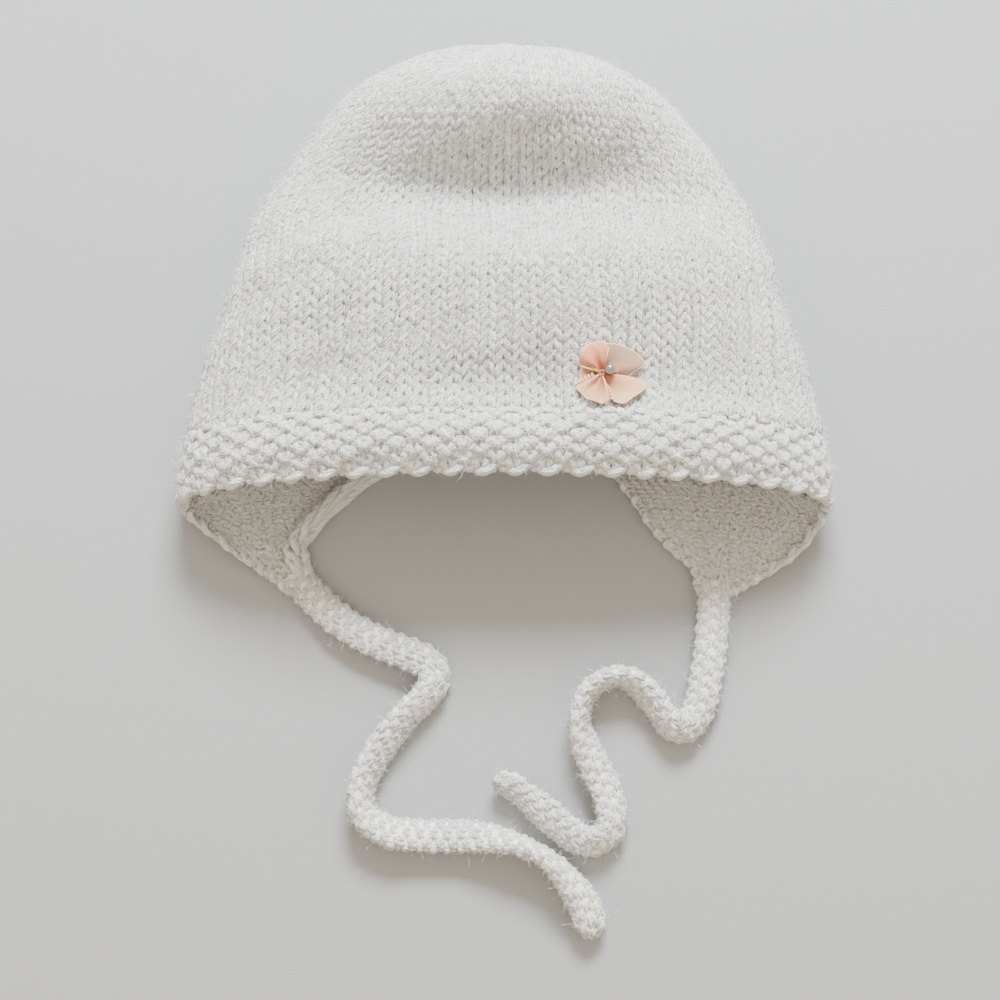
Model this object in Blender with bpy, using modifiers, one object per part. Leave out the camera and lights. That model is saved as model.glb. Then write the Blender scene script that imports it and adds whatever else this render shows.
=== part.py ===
"""Knitted baby bonnet lying on its back, its opening towards -Y and its gathered end towards +Y.

Metres, +Z up. The origin is the middle of the footprint of cap and flaps, on the table.
The cap is a hollow shell: a stocking-stitch crown and a puffy moss-stitch band round the opening.
Two ear flaps go on from the band's back layer and end in flat ties that lie loose on the table.
"""

import math

import bpy
from mathutils import Matrix, Vector

# Cap, measured as it lies
HALF_WIDTH = 0.0869
FRONT_LENGTH = 0.1194
SIDE_LENGTH = 0.1242
BACK_LENGTH = 0.1123
HEIGHT = 0.0355
FOLD_HEIGHT = 0.009
END_HEIGHT = 0.0105
UPPER_ROUNDNESS = 2.25
LOWER_ROUNDNESS = 4.0
BOTTOM_FLATTENING = 1.06
EDGE_SOFTENING = 0.90
CROWN_WALL = 0.0025

# Band round the opening
BAND_SHARE = 0.137
BAND_WALL = 0.0035
BAND_SWELL = 0.0007
BAND_EDGE_SWELL = 0.35

# Ear flaps
FLAP_LENGTH = 0.0251
FLAP_WALL = 0.0035

# Ties
TIE_WIDTH = 0.0092
TIE_THICKNESS = 0.0052
TIE_STEP = 0.0026

# Gathers at the crown's end
GATHER_COUNT = 8
GATHER_DEPTH = 0.07
GATHER_START = 0.88

# Ribbon flower and bead
FLOWER_REACH = 0.0105
RIBBON_THICKNESS = 0.0006
FLOWER_X = 0.0265
FLOWER_FROM_FRONT = 0.0262
BEAD_DIAMETER = 0.0027
FLOWER_CLEARANCE = 0.0008

GAP = 0.0003
SEAM_GAP = 0.0006
FLAP_GAP = 0.00098
SEAM_STRIP = 0.0006
CAP_COLUMNS = 60
FOLD_CROWDING = 0.35
CROWN_ROWS = 22
ROW_CROWDING = 1.3
BAND_ROWS = 4
FLAP_ROWS = 10
FLAP_COLUMNS = 9
SECTION_SAMPLES = 60

END_Y = (SIDE_LENGTH + FLAP_LENGTH) / 2

# along: share of the way from the opening edge to the gathered end
# width: share of HALF_WIDTH, top: share of HEIGHT, lift: share of END_HEIGHT under the cap
CAP_SECTIONS = (
    {"along": 0.000, "width": 1.000, "top": 0.88, "lift": 0.00},
    {"along": 0.050, "width": 0.992, "top": 0.97, "lift": 0.00},
    {"along": 0.117, "width": 0.980, "top": 0.99, "lift": 0.00},
    {"along": 0.190, "width": 0.963, "top": 0.92, "lift": 0.00},
    {"along": 0.294, "width": 0.925, "top": 0.95, "lift": 0.00},
    {"along": 0.369, "width": 0.888, "top": 0.985, "lift": 0.00},
    {"along": 0.435, "width": 0.857, "top": 1.00, "lift": 0.00},
    {"along": 0.524, "width": 0.823, "top": 0.985, "lift": 0.00},
    {"along": 0.627, "width": 0.765, "top": 0.93, "lift": 0.00},
    {"along": 0.685, "width": 0.713, "top": 0.90, "lift": 0.00},
    {"along": 0.757, "width": 0.646, "top": 0.875, "lift": 0.00},
    {"along": 0.809, "width": 0.585, "top": 0.87, "lift": 0.02},
    {"along": 0.861, "width": 0.521, "top": 0.85, "lift": 0.06},
    {"along": 0.909, "width": 0.441, "top": 0.78, "lift": 0.14},
    {"along": 0.945, "width": 0.351, "top": 0.66, "lift": 0.28},
    {"along": 0.968, "width": 0.280, "top": 0.56, "lift": 0.42},
    {"along": 0.985, "width": 0.180, "top": 0.46, "lift": 0.60},
    {"along": 1.000, "width": 0.000, "top": 0.30, "lift": 1.00},
)

# across: share of HALF_WIDTH, along: share of FRONT_LENGTH from the front edge
# wide and long: the dent's reach in the same shares, deep: share of HEIGHT
DENTS = (
    {"name": "crown valley", "across": 0.02, "along": 0.678, "wide": 0.43, "long": 0.092, "deep": 0.27},
    {"name": "above the band", "across": -0.02, "along": 0.167, "wide": 0.23, "long": 0.075, "deep": 0.07},
    {"name": "left temple", "across": -0.60, "along": 0.215, "wide": 0.14, "long": 0.117, "deep": 0.07},
    {"name": "beside the flower", "across": 0.11, "along": 0.200, "wide": 0.09, "long": 0.100, "deep": 0.05},
    {"name": "right temple", "across": 0.52, "along": 0.235, "wide": 0.17, "long": 0.084, "deep": 0.05},
)

# Edges of the flaps: x as a share of HALF_WIDTH, drop as a share of FLAP_LENGTH below the fold's edge
# curl: how far the outer edge stands up, as a share of FOLD_HEIGHT
LEFT_FLAP = (
    {"inner_x": 0.315, "inner_drop": -0.440, "outer_x": 1.000, "outer_drop": 0.000, "curl": 1.00},
    {"inner_x": 0.420, "inner_drop": -0.190, "outer_x": 0.990, "outer_drop": 0.095, "curl": 0.88},
    {"inner_x": 0.522, "inner_drop": 0.120, "outer_x": 0.910, "outer_drop": 0.330, "curl": 0.58},
    {"inner_x": 0.597, "inner_drop": 0.390, "outer_x": 0.793, "outer_drop": 0.630, "curl": 0.25},
    {"inner_x": 0.606, "inner_drop": 0.560, "outer_x": 0.722, "outer_drop": 0.810, "curl": 0.08},
    {"inner_x": 0.588, "inner_drop": 0.725, "outer_x": 0.668, "outer_drop": 0.985, "curl": 0.00},
)
RIGHT_FLAP = (
    {"inner_x": 0.292, "inner_drop": -0.440, "outer_x": 1.000, "outer_drop": 0.000, "curl": 1.00},
    {"inner_x": 0.367, "inner_drop": -0.100, "outer_x": 0.992, "outer_drop": 0.145, "curl": 0.88},
    {"inner_x": 0.441, "inner_drop": 0.263, "outer_x": 0.915, "outer_drop": 0.500, "curl": 0.58},
    {"inner_x": 0.512, "inner_drop": 0.510, "outer_x": 0.811, "outer_drop": 0.760, "curl": 0.25},
    {"inner_x": 0.572, "inner_drop": 0.690, "outer_x": 0.743, "outer_drop": 0.905, "curl": 0.08},
    {"inner_x": 0.588, "inner_drop": 0.960, "outer_x": 0.700, "outer_drop": 0.985, "curl": 0.00},
)

# Routes of the ties on the table: x, y and the twist in degrees, 0 lying flat and 90 on its edge
LEFT_ROUTE = (
    (-0.0540, -0.0714, 0),
    (-0.0510, -0.0748, 0),
    (-0.0457, -0.0796, 4),
    (-0.0395, -0.0839, 8),
    (-0.0328, -0.0871, 8),
    (-0.0262, -0.0897, 6),
    (-0.0217, -0.0916, 10),
    (-0.0188, -0.0942, 24),
    (-0.0186, -0.0976, 38),
    (-0.0213, -0.1017, 44),
    (-0.0261, -0.1063, 44),
    (-0.0304, -0.1118, 42),
    (-0.0343, -0.1174, 42),
    (-0.0371, -0.1230, 46),
    (-0.0378, -0.1283, 50),
    (-0.0359, -0.1333, 46),
    (-0.0308, -0.1364, 34),
    (-0.0251, -0.1374, 24),
    (-0.0193, -0.1377, 18),
    (-0.0136, -0.1377, 18),
    (-0.0074, -0.1379, 30),
    (-0.0012, -0.1386, 54),
    (0.0040, -0.1400, 76),
    (0.0092, -0.1424, 84),
    (0.0133, -0.1455, 66),
    (0.0169, -0.1496, 44),
    (0.0200, -0.1541, 26),
    (0.0220, -0.1588, 16),
    (0.0232, -0.1632, 12),
)
RIGHT_ROUTE = (
    (0.0561, -0.0744, 0),
    (0.0558, -0.0790, 0),
    (0.0553, -0.0835, 4),
    (0.0549, -0.0880, 6),
    (0.0541, -0.0925, 6),
    (0.0532, -0.0975, 4),
    (0.0521, -0.1025, 6),
    (0.0504, -0.1066, 16),
    (0.0478, -0.1095, 34),
    (0.0444, -0.1092, 48),
    (0.0416, -0.1056, 52),
    (0.0388, -0.1018, 48),
    (0.0356, -0.0983, 54),
    (0.0322, -0.0962, 66),
    (0.0287, -0.0960, 76),
    (0.0250, -0.0975, 70),
    (0.0218, -0.1003, 68),
    (0.0202, -0.1041, 74),
    (0.0199, -0.1083, 66),
    (0.0210, -0.1131, 46),
    (0.0228, -0.1174, 32),
    (0.0249, -0.1217, 24),
    (0.0268, -0.1259, 24),
    (0.0281, -0.1303, 30),
    (0.0282, -0.1343, 36),
    (0.0267, -0.1375, 40),
    (0.0234, -0.1391, 38),
    (0.0195, -0.1384, 32),
    (0.0147, -0.1351, 26),
    (0.0093, -0.1304, 24),
    (0.0051, -0.1270, 26),
    (0.0012, -0.1241, 34),
    (-0.0020, -0.1238, 44),
)

# Petals of the flower, in degrees round the bead from +X, with their reach and lift as shares
PETALS = (
    {"start": 8, "end": 78, "reach": 1.00, "lift": 0.35},
    {"start": 78, "end": 176, "reach": 0.82, "lift": 0.50},
    {"start": 196, "end": 276, "reach": 0.90, "lift": 0.45},
    {"start": 276, "end": 352, "reach": 1.12, "lift": 0.35},
)
PETAL_POINTS = 9
PETAL_RINGS = 4
NOTCH_REACH = 0.45
FLOWER_RISE = 0.0016

YARN_WHITE = (0.83, 0.82, 0.78)
RIBBON_PEACH = (0.78, 0.50, 0.39)
PEARL_WHITE = (0.86, 0.83, 0.77)


def clear_scene():
    for thing in list(bpy.data.objects):
        bpy.data.objects.remove(thing)


def plain_material(name, colour, roughness):
    material = bpy.data.materials.new(name)
    material.use_nodes = True
    shader = material.node_tree.nodes["Principled BSDF"]
    shader.inputs["Base Color"].default_value = (*colour, 1.0)
    shader.inputs["Roughness"].default_value = roughness
    shader.inputs["Metallic"].default_value = 0.0
    return material


def smooth_read(rows, key, column, at):
    """A column of a table at one place, on a smooth curve through its rows."""
    places = [row[key] for row in rows]
    values = [row[column] for row in rows]
    last = len(places) - 1
    at = min(max(at, places[0]), places[last])
    i = next(k for k in range(last) if at <= places[k + 1])

    def slope(k):
        before, after = max(k - 1, 0), min(k + 1, last)
        return (values[after] - values[before]) / (places[after] - places[before])

    span = places[i + 1] - places[i]
    t = (at - places[i]) / span
    return (
        (2 * t**3 - 3 * t**2 + 1) * values[i]
        + (t**3 - 2 * t**2 + t) * span * slope(i)
        + (3 * t**2 - 2 * t**3) * values[i + 1]
        + (t**3 - t**2) * span * slope(i + 1)
    )


def dented(x, y, z, roundness):
    """The height of the upper layer once its dents are pressed in. They fade out towards the folds."""
    front_y = END_Y - FRONT_LENGTH
    for dent in DENTS:
        across = (x / HALF_WIDTH - dent["across"]) / dent["wide"]
        along = ((y - front_y) / FRONT_LENGTH - dent["along"]) / dent["long"]
        z -= HEIGHT * dent["deep"] * roundness * math.exp(-across * across - along * along)
    return z


def half_section(along, upper, swell):
    """Half of the cap's ring at one share along it, from the right fold to the left, as (x, z, roundness)."""
    width = HALF_WIDTH * max(smooth_read(CAP_SECTIONS, "along", "width", along), 0.0) + swell
    bottom = END_HEIGHT * max(smooth_read(CAP_SECTIONS, "along", "lift", along), 0.0)
    top = HEIGHT * smooth_read(CAP_SECTIONS, "along", "top", along) + swell
    top = max(top, bottom)
    fold = bottom + min(FOLD_HEIGHT, (top - bottom) / 2)
    power = 2 / (UPPER_ROUNDNESS if upper else LOWER_ROUNDNESS)
    points = []
    for i in range(SECTION_SAMPLES + 1):
        angle = math.pi * i / SECTION_SAMPLES
        x = math.copysign(abs(math.cos(angle)) ** power, math.cos(angle)) * width
        rise = max(math.sin(angle), 0.0) ** power
        if upper:
            z = fold + (top - fold) * rise
        else:
            z = max(bottom, fold - (fold - bottom) * rise * BOTTOM_FLATTENING)
        points.append((x, z, edge_roundness(x / max(width, 1e-6))))
    return points


def edge_roundness(across):
    """1 in the middle of a layer and 0 at its folds, with a soft turn at the folds."""
    softened = math.sqrt(1 - EDGE_SOFTENING)
    return (math.sqrt(max(1 - EDGE_SOFTENING * across * across, 0.0)) - softened) / (1 - softened)


def along_section(section, share):
    """The point of a section that lies a share of its length from its start."""
    steps = [math.dist(a[:2], b[:2]) for a, b in zip(section, section[1:])]
    left = sum(steps) * share
    for a, b, step in zip(section, section[1:], steps):
        if left <= step:
            return [p + (q - p) * left / max(step, 1e-9) for p, q in zip(a, b)]
        left -= step
    return list(section[-1])


def edge_y(along, upper, roundness):
    """How far back a point of the cap lies: the front edge, the back edge and the folds differ."""
    middle_length = FRONT_LENGTH if upper else BACK_LENGTH
    length = SIDE_LENGTH + (middle_length - SIDE_LENGTH) * roundness
    return END_Y - length * (1 - along)


def ring(along, swell=0.0):
    """One ring of the cap, right fold, top, left fold, bottom, with its points closer at the folds."""
    points = []
    per_layer = CAP_COLUMNS // 2
    for upper in (True, False):
        section = half_section(along, upper, swell)
        for i in range(per_layer):
            even = i / per_layer
            share = even + FOLD_CROWDING * (0.5 - 0.5 * math.cos(math.pi * even) - even)
            x, z, roundness = along_section(section, share)
            y = edge_y(along, upper, roundness)
            points.append([x if upper else -x, y, dented(x, y, z, roundness) if upper else z])
    return gathered(points, along)


def gathered(points, along):
    """The shallow pleats of the last rings, drawn in towards the middle of the ring."""
    strength = min(max((along - GATHER_START) / (1 - GATHER_START), 0.0), 1.0)
    if strength == 0.0:
        return points
    middle_z = sum(p[2] for p in points) / len(points)
    for i, p in enumerate(points):
        pleat = 0.5 - 0.5 * math.cos(2 * math.pi * GATHER_COUNT * i / len(points))
        draw = 1 - GATHER_DEPTH * strength * pleat
        p[0] *= draw
        p[2] = middle_z + (p[2] - middle_z) * draw
    return points


def new_object(name, mesh_or_curve, material, parent):
    thing = bpy.data.objects.new(name, mesh_or_curve)
    mesh_or_curve.materials.append(material)
    bpy.data.collections["baby_bonnet"].objects.link(thing)
    thing.parent = parent
    return thing


def add_wall(thing, thickness, offset):
    wall = thing.modifiers.new("wall", "SOLIDIFY")
    wall.thickness = thickness
    wall.offset = offset


def lofted(name, rings, tip, closed_round):
    """An open sheet through rows of points, as a mesh, with an end point where it closes."""
    columns = len(rings[0])
    vertices = [p for row in rings for p in row]
    faces = []
    for row in range(len(rings) - 1):
        for i in range(columns if closed_round else columns - 1):
            j = (i + 1) % columns
            a, b = row * columns, (row + 1) * columns
            faces.append((a + i, a + j, b + j, b + i))
    if tip is not None:
        vertices.append(tip)
        last = (len(rings) - 1) * columns
        faces += [(last + i, last + (i + 1) % columns, len(vertices) - 1) for i in range(columns)]
    mesh = bpy.data.meshes.new(name)
    mesh.from_pydata(vertices, [], faces)
    mesh.flip_normals()
    mesh.shade_smooth()
    return mesh


def build_crown(material, parent):
    first = BAND_SHARE + SEAM_GAP / FRONT_LENGTH / 2
    places = [first]
    start = first + SEAM_STRIP / FRONT_LENGTH
    for i in range(CROWN_ROWS):
        share = 1 - (1 - i / CROWN_ROWS) ** ROW_CROWDING
        places.append(start + (1 - start) * share)
    rows = [ring(along) for along in places]
    tip = (0.0, END_Y, END_HEIGHT)
    crown = new_object("crown", lofted("crown", rows, tip, True), material, parent)
    add_wall(crown, CROWN_WALL, -1)


def build_band(material, parent):
    last = BAND_SHARE - SEAM_GAP / FRONT_LENGTH / 2
    end = last - SEAM_STRIP / FRONT_LENGTH
    places = [end * i / BAND_ROWS for i in range(BAND_ROWS + 1)] + [last]
    rows = []
    for along in places:
        puff = BAND_EDGE_SWELL + (1 - BAND_EDGE_SWELL) * math.sin(math.pi * along / last)
        rows.append(ring(along, BAND_SWELL * puff))
    band = new_object("band", lofted("band", rows, None, True), material, parent)
    add_wall(band, BAND_WALL, -1)


def flap_root(inner_x):
    """The middle of the band's wall on the back layer, from a place across to the fold, as (x, y, z)."""
    section = half_section(0.0, False, BAND_SWELL * BAND_EDGE_SWELL)
    root = []
    for before, here, after in zip(section, section[1:], section[2:]):
        along_x, along_z = after[0] - before[0], after[1] - before[1]
        inward = FLAP_WALL / 2 / math.hypot(along_x, along_z)
        x, z = here[0] + along_z * inward, here[1] - along_x * inward
        root.append((x, z, edge_y(0.0, False, here[2]) - FLAP_GAP))
    fold_x, fold_z = section[0][0] - FLAP_WALL / 2, section[0][1]
    root = [(fold_x, fold_z, edge_y(0.0, False, 0.0) - FLAP_GAP)] + [p for p in root if p[0] > inner_x]
    return root[::-1]


def flap_rows(table, side):
    """Rows of points over a flap's middle surface, from the band down to the tie."""
    steps = [dict(row, step=i / (len(table) - 1)) for i, row in enumerate(table)]
    root = flap_root(HALF_WIDTH * table[0]["inner_x"])
    rows = []
    for r in range(FLAP_ROWS + 1):
        row = [flap_point(steps, root, r / FLAP_ROWS, c / FLAP_COLUMNS, side) for c in range(FLAP_COLUMNS + 1)]
        rows.append(row if side > 0 else row[::-1])
    rows.insert(1, [(x, y - SEAM_STRIP, z) for x, y, z in rows[0]])
    return rows


def flap_point(steps, root, at, across, side):
    """A flap's point: straight between its two edges, with the band's own curve fading out below the root."""
    inner_x = HALF_WIDTH * smooth_read(steps, "step", "inner_x", at)
    outer_x = HALF_WIDTH * smooth_read(steps, "step", "outer_x", at)
    inner_drop = smooth_read(steps, "step", "inner_drop", at)
    outer_drop = smooth_read(steps, "step", "outer_drop", at)
    curl = smooth_read(steps, "step", "curl", at)
    root_x, root_z, root_y = along_section(root, across)
    straight_root_x = HALF_WIDTH * (steps[0]["inner_x"] + (1 - steps[0]["inner_x"]) * across)
    straight_root_drop = steps[0]["inner_drop"] + (steps[0]["outer_drop"] - steps[0]["inner_drop"]) * across
    x = inner_x + (outer_x - inner_x) * across + (root_x - straight_root_x) * curl
    fold_y = END_Y - SIDE_LENGTH
    y = fold_y - FLAP_LENGTH * (inner_drop + (outer_drop - inner_drop) * across)
    y += (root_y - fold_y + FLAP_LENGTH * straight_root_drop) * (1 - at) ** 2
    z = FLAP_WALL / 2 + (root_z - FLAP_WALL / 2) * curl
    return (side * x, y, z)


def build_flap(name, table, side, material, parent):
    mesh = lofted(name, flap_rows(table, side), None, False)
    add_wall(new_object(name, mesh, material, parent), FLAP_WALL, 0)


def route_curve(route):
    """Points at an even step on one smooth curve through the route, with the twist at each."""
    fine = []
    for i in range(len(route) - 1):
        p = [Vector(route[min(max(i + k, 0), len(route) - 1)]) for k in (-1, 0, 1, 2)]
        for k in range(12):
            t = k / 12
            fine.append(
                0.5
                * (
                    2 * p[1]
                    + (p[2] - p[0]) * t
                    + (2 * p[0] - 5 * p[1] + 4 * p[2] - p[3]) * t * t
                    + (3 * p[1] - 3 * p[2] + p[3] - p[0]) * t**3
                )
            )
    fine.append(Vector(route[-1]))
    steps = [(b.xy - a.xy).length for a, b in zip(fine, fine[1:])]
    count = round(sum(steps) / TIE_STEP)
    points, k, reached = [], 0, 0.0
    for i in range(count + 1):
        wanted = sum(steps) * i / count
        while k < len(steps) - 1 and reached + steps[k] < wanted:
            reached += steps[k]
            k += 1
        points.append(fine[k].lerp(fine[k + 1], (wanted - reached) / steps[k]))
    return points


def tie_section():
    """The ties' oval cross section, which only guides their curves."""
    oval = bpy.data.curves.new("tie_section", "CURVE")
    oval.dimensions = "2D"
    spline = oval.splines.new("POLY")
    sides = 10
    spline.points.add(sides - 1)
    for i in range(sides):
        angle = -2 * math.pi * (i + 0.5) / sides
        x, y = math.cos(angle) * TIE_WIDTH / 2, math.sin(angle) * TIE_THICKNESS / 2
        spline.points[i].co = (x, y, 0, 1)
    spline.use_cyclic_u = True
    guide = bpy.data.objects.new("tie_section", oval)
    bpy.data.collections["guides"].objects.link(guide)
    guide.hide_render = True
    guide.display_type = "WIRE"
    return guide


def build_tie(name, route, section, material, parent):
    curve = bpy.data.curves.new(name, "CURVE")
    curve.dimensions = "3D"
    curve.twist_mode = "Z_UP"
    curve.bevel_mode = "OBJECT"
    curve.bevel_object = section
    curve.use_fill_caps = True
    points = route_curve(route)
    spline = curve.splines.new("POLY")
    spline.points.add(len(points) - 1)
    for point, (x, y, twist) in zip(spline.points, points):
        turn = math.radians(twist)
        height = math.hypot(TIE_WIDTH / 2 * math.sin(turn), TIE_THICKNESS / 2 * math.cos(turn))
        point.co = (x, y, height, 1)
        point.tilt = turn
    new_object(name, curve, material, parent)


def crown_point(x, from_front):
    """A point of the upper layer at a place across and a distance back from the front edge."""
    points = ring(from_front / FRONT_LENGTH)[: CAP_COLUMNS // 2 + 1]
    for a, b in zip(points, points[1:]):
        if b[0] <= x <= a[0]:
            return Vector(a).lerp(Vector(b), (a[0] - x) / (a[0] - b[0]))
    raise ValueError("no point of the upper layer lies there")


def flower_axes():
    """The flower's seat on the crown, as a matrix whose axes lie along the knitting and out of it."""
    reach = FLOWER_REACH / 2
    seat = crown_point(FLOWER_X, FLOWER_FROM_FRONT)
    across = crown_point(FLOWER_X + reach, FLOWER_FROM_FRONT) - crown_point(FLOWER_X - reach, FLOWER_FROM_FRONT)
    back = crown_point(FLOWER_X, FLOWER_FROM_FRONT + reach) - crown_point(FLOWER_X, FLOWER_FROM_FRONT - reach)
    out = across.cross(back).normalized()
    across.normalize()
    axes = Matrix((across, out.cross(across), out)).transposed()
    return Matrix.Translation(seat) @ axes.to_4x4()


def petal_ring(share, axes):
    """One ring of the flower, a share of the way out, petal by petal, laid over the knitting."""
    ring_points = []
    for petal in PETALS:
        for i in range(PETAL_POINTS):
            t = (i + 0.5) / PETAL_POINTS
            angle = math.radians(petal["start"] + (petal["end"] - petal["start"]) * t)
            round_off = math.sin(math.pi * t) ** 0.35
            reach = FLOWER_REACH * petal["reach"] * (NOTCH_REACH + (1 - NOTCH_REACH) * round_off)
            ripple = 0.5 + 0.5 * math.cos(6 * math.pi * t)
            height = FLOWER_RISE * petal["lift"] * math.sin(math.pi * share) * (0.4 + 0.6 * ripple)
            across, back = reach * share * math.cos(angle), reach * share * math.sin(angle)
            point = axes.inverted() @ crown_point(FLOWER_X + across, FLOWER_FROM_FRONT + back)
            point.z += FLOWER_CLEARANCE + height
            ring_points.append(tuple(point))
    return ring_points


def build_flower(material, parent):
    axes = flower_axes()
    rings = [petal_ring(1 - i / PETAL_RINGS, axes) for i in range(PETAL_RINGS)]
    mesh = lofted("ribbon_flower", rings, (0, 0, FLOWER_CLEARANCE), True)
    flower = new_object("ribbon_flower", mesh, material, parent)
    flower.matrix_world = axes
    add_wall(flower, RIBBON_THICKNESS, 0)
    return flower


def build_bead(material, flower):
    radius = BEAD_DIAMETER / 2
    bpy.ops.mesh.primitive_uv_sphere_add(segments=14, ring_count=8, radius=radius)
    bead = bpy.context.object
    bead.name = "pearl_bead"
    for collection in list(bead.users_collection):
        collection.objects.unlink(bead)
    bpy.data.collections["baby_bonnet"].objects.link(bead)
    bead.data.materials.append(material)
    bead.data.shade_smooth()
    bead.parent = flower
    bead.location = (0, 0, FLOWER_CLEARANCE + RIBBON_THICKNESS / 2 + GAP + radius)


def main():
    clear_scene()
    for name in ("baby_bonnet", "guides"):
        bpy.context.scene.collection.children.link(bpy.data.collections.new(name))
    root = bpy.data.objects.new("baby_bonnet", None)
    bpy.data.collections["baby_bonnet"].objects.link(root)
    yarn = plain_material("white_yarn", YARN_WHITE, 0.95)
    ribbon = plain_material("peach_ribbon", RIBBON_PEACH, 0.45)
    pearl = plain_material("pearl", PEARL_WHITE, 0.18)
    build_crown(yarn, root)
    build_band(yarn, root)
    build_flap("ear_flap_left", LEFT_FLAP, -1, yarn, root)
    build_flap("ear_flap_right", RIGHT_FLAP, 1, yarn, root)
    section = tie_section()
    build_tie("tie_left", LEFT_ROUTE, section, yarn, root)
    build_tie("tie_right", RIGHT_ROUTE, section, yarn, root)
    build_bead(pearl, build_flower(ribbon, root))


main()
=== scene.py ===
"""The knitted baby bonnet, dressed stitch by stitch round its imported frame. Metres, +Z up."""

import math

import bpy
import numpy as np
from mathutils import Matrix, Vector


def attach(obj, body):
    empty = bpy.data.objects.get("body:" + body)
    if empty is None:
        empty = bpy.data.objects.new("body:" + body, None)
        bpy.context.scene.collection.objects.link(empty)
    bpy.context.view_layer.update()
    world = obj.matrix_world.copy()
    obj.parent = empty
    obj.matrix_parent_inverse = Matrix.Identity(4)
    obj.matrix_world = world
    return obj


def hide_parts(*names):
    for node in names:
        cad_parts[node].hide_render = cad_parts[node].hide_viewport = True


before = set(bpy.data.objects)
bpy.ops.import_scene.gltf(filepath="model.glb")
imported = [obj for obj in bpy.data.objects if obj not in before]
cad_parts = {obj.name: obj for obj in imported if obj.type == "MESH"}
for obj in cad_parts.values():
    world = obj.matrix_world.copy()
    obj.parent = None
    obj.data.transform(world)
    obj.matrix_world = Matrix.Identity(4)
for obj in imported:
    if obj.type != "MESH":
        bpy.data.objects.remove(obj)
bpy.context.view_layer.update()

# Sizes of the solids in the frame
HALF_WIDTH = 0.0869
FRONT_LENGTH = 0.1194
SIDE_LENGTH = 0.1242
BACK_LENGTH = 0.1123
HEIGHT = 0.0355
FOLD_HEIGHT = 0.009
END_HEIGHT = 0.0105
UPPER_ROUNDNESS = 2.25
LOWER_ROUNDNESS = 4.0
BOTTOM_FLATTENING = 1.06
EDGE_SOFTENING = 0.90
CROWN_WALL = 0.0025
BAND_SHARE = 0.137
BAND_WALL = 0.0035
BAND_SWELL = 0.0007
BAND_EDGE_SWELL = 0.35
FLAP_LENGTH = 0.0251
FLAP_WALL = 0.0035
FLAP_GAP = 0.00098
TIE_WIDTH = 0.0092
TIE_THICKNESS = 0.0052
GATHER_COUNT = 8
GATHER_DEPTH = 0.07
GATHER_START = 0.88
FLOWER_X = 0.0265
FLOWER_FROM_FRONT = 0.0262
BEAD_DIAMETER = 0.0027
END_Y = (SIDE_LENGTH + FLAP_LENGTH) / 2

# Knitting
CROWN_STITCH = 0.0043
CROWN_ROW = 0.0028
CROWN_YARN = 0.00112
CROWN_RELIEF = 0.00040
CROWN_END = 0.9992
PUCKER_COUNT = 6
PUCKER_START = 0.80
PUCKER_HEIGHT = 0.0013
BAND_STITCHES = 92
BAND_ROW = 0.0023
BAND_YARN = 0.00112
BAND_RELIEF = 0.00056
FLAP_STITCH = 0.0027
FLAP_ROW = 0.0019
FLAP_YARN = 0.00080
FLAP_RELIEF = 0.00030
FLAP_LEAD = 0.0042
TIE_ROW = 0.0018
TIE_YARN = 0.00086
TIE_RELIEF = 0.00062
TIE_STITCHES = 8
TIE_LEAD = 0.0040
YARN_SIDES = 5
STITCH_POINTS = 12
TIE_STITCH_POINTS = 8
PLY_PITCH = 0.0032
PLIES = 3
CROWN_START = BAND_SHARE + 0.002
RING_COLUMNS = 240
LOOP_WIDTH = 0.2
CROWN_LOOP_WIDTH = 0.225
FLAP_MOSS_RELIEF = 0.00050
ROPE_YARN = 0.00118
ROPE_RISE = 0.0010
ROPE_SWING = 0.0009
ROPE_POINTS = 16
ROUND_YARN = 0.95
YARN_SWELL = 0.06
CROWN_LUMPS = 0.00022
CROWN_DRIFT = 0.24
CROWN_LEAN = 0.0012
BAND_LUMPS = 0.00025
YARN_BUMP = 0.0011
FIBRES_ACROSS = 4.5
FIBRES_ALONG = 1.1
ROUTE_STEP = 0.0006
TIE_TAPER = 0.022
KNOB_LENGTH = 0.0150
KNOB_WAIST = 0.26

# How far a loop reaches up and down in rows, and how uneven loops are: in rows, in depth and sideways
LOOP_REACH = {"crown": 0.95, "band": 0.80, "flap": 0.85, "tie": 0.85}
ROW_WOBBLE = {"crown": 0.05, "band": 0.05, "flap": 0.04, "tie": 0.05}
DEPTH_WOBBLE = {"crown": 0.00006, "band": 0.0001, "flap": 0.00008, "tie": 0.00012}
COLUMN_WOBBLE = {"crown": 0.0003, "band": 0.0006}

# Strands along the flaps' edges: how far in, length of a turn, swing sideways and swing up
PLAIN_EDGE = (0.0011, 0.0042, 0.0007, 0.0006)
CORE_EDGE = (0.0012, 0.0110, 0.0003, 0.0003)
BRAID_EDGE = (0.0040, 0.0160, 0.0014, 0.0009)
CORE_YARN = 0.0016
BRAID_YARN = 0.0011
BRAID_LIFT = 0.0028
EDGE_STEP = 0.0005

# Fuzz
HAIR_WIDTH = 0.000075
HAIR_POINTS = 5
HAIR_KINK = 0.75
HAIRS = {"crown": 15500, "band": 6000, "flap": 1000, "tie": 2800}
HAIR_STANDING = 0.45
HAIR_STEP_LIMIT = 0.0014
HAIR_STEP = (0.0004, 0.0010)
STANDING_RISE = (0.4, 1.6)
LYING_RISE = (0.05, 0.35)

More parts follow.
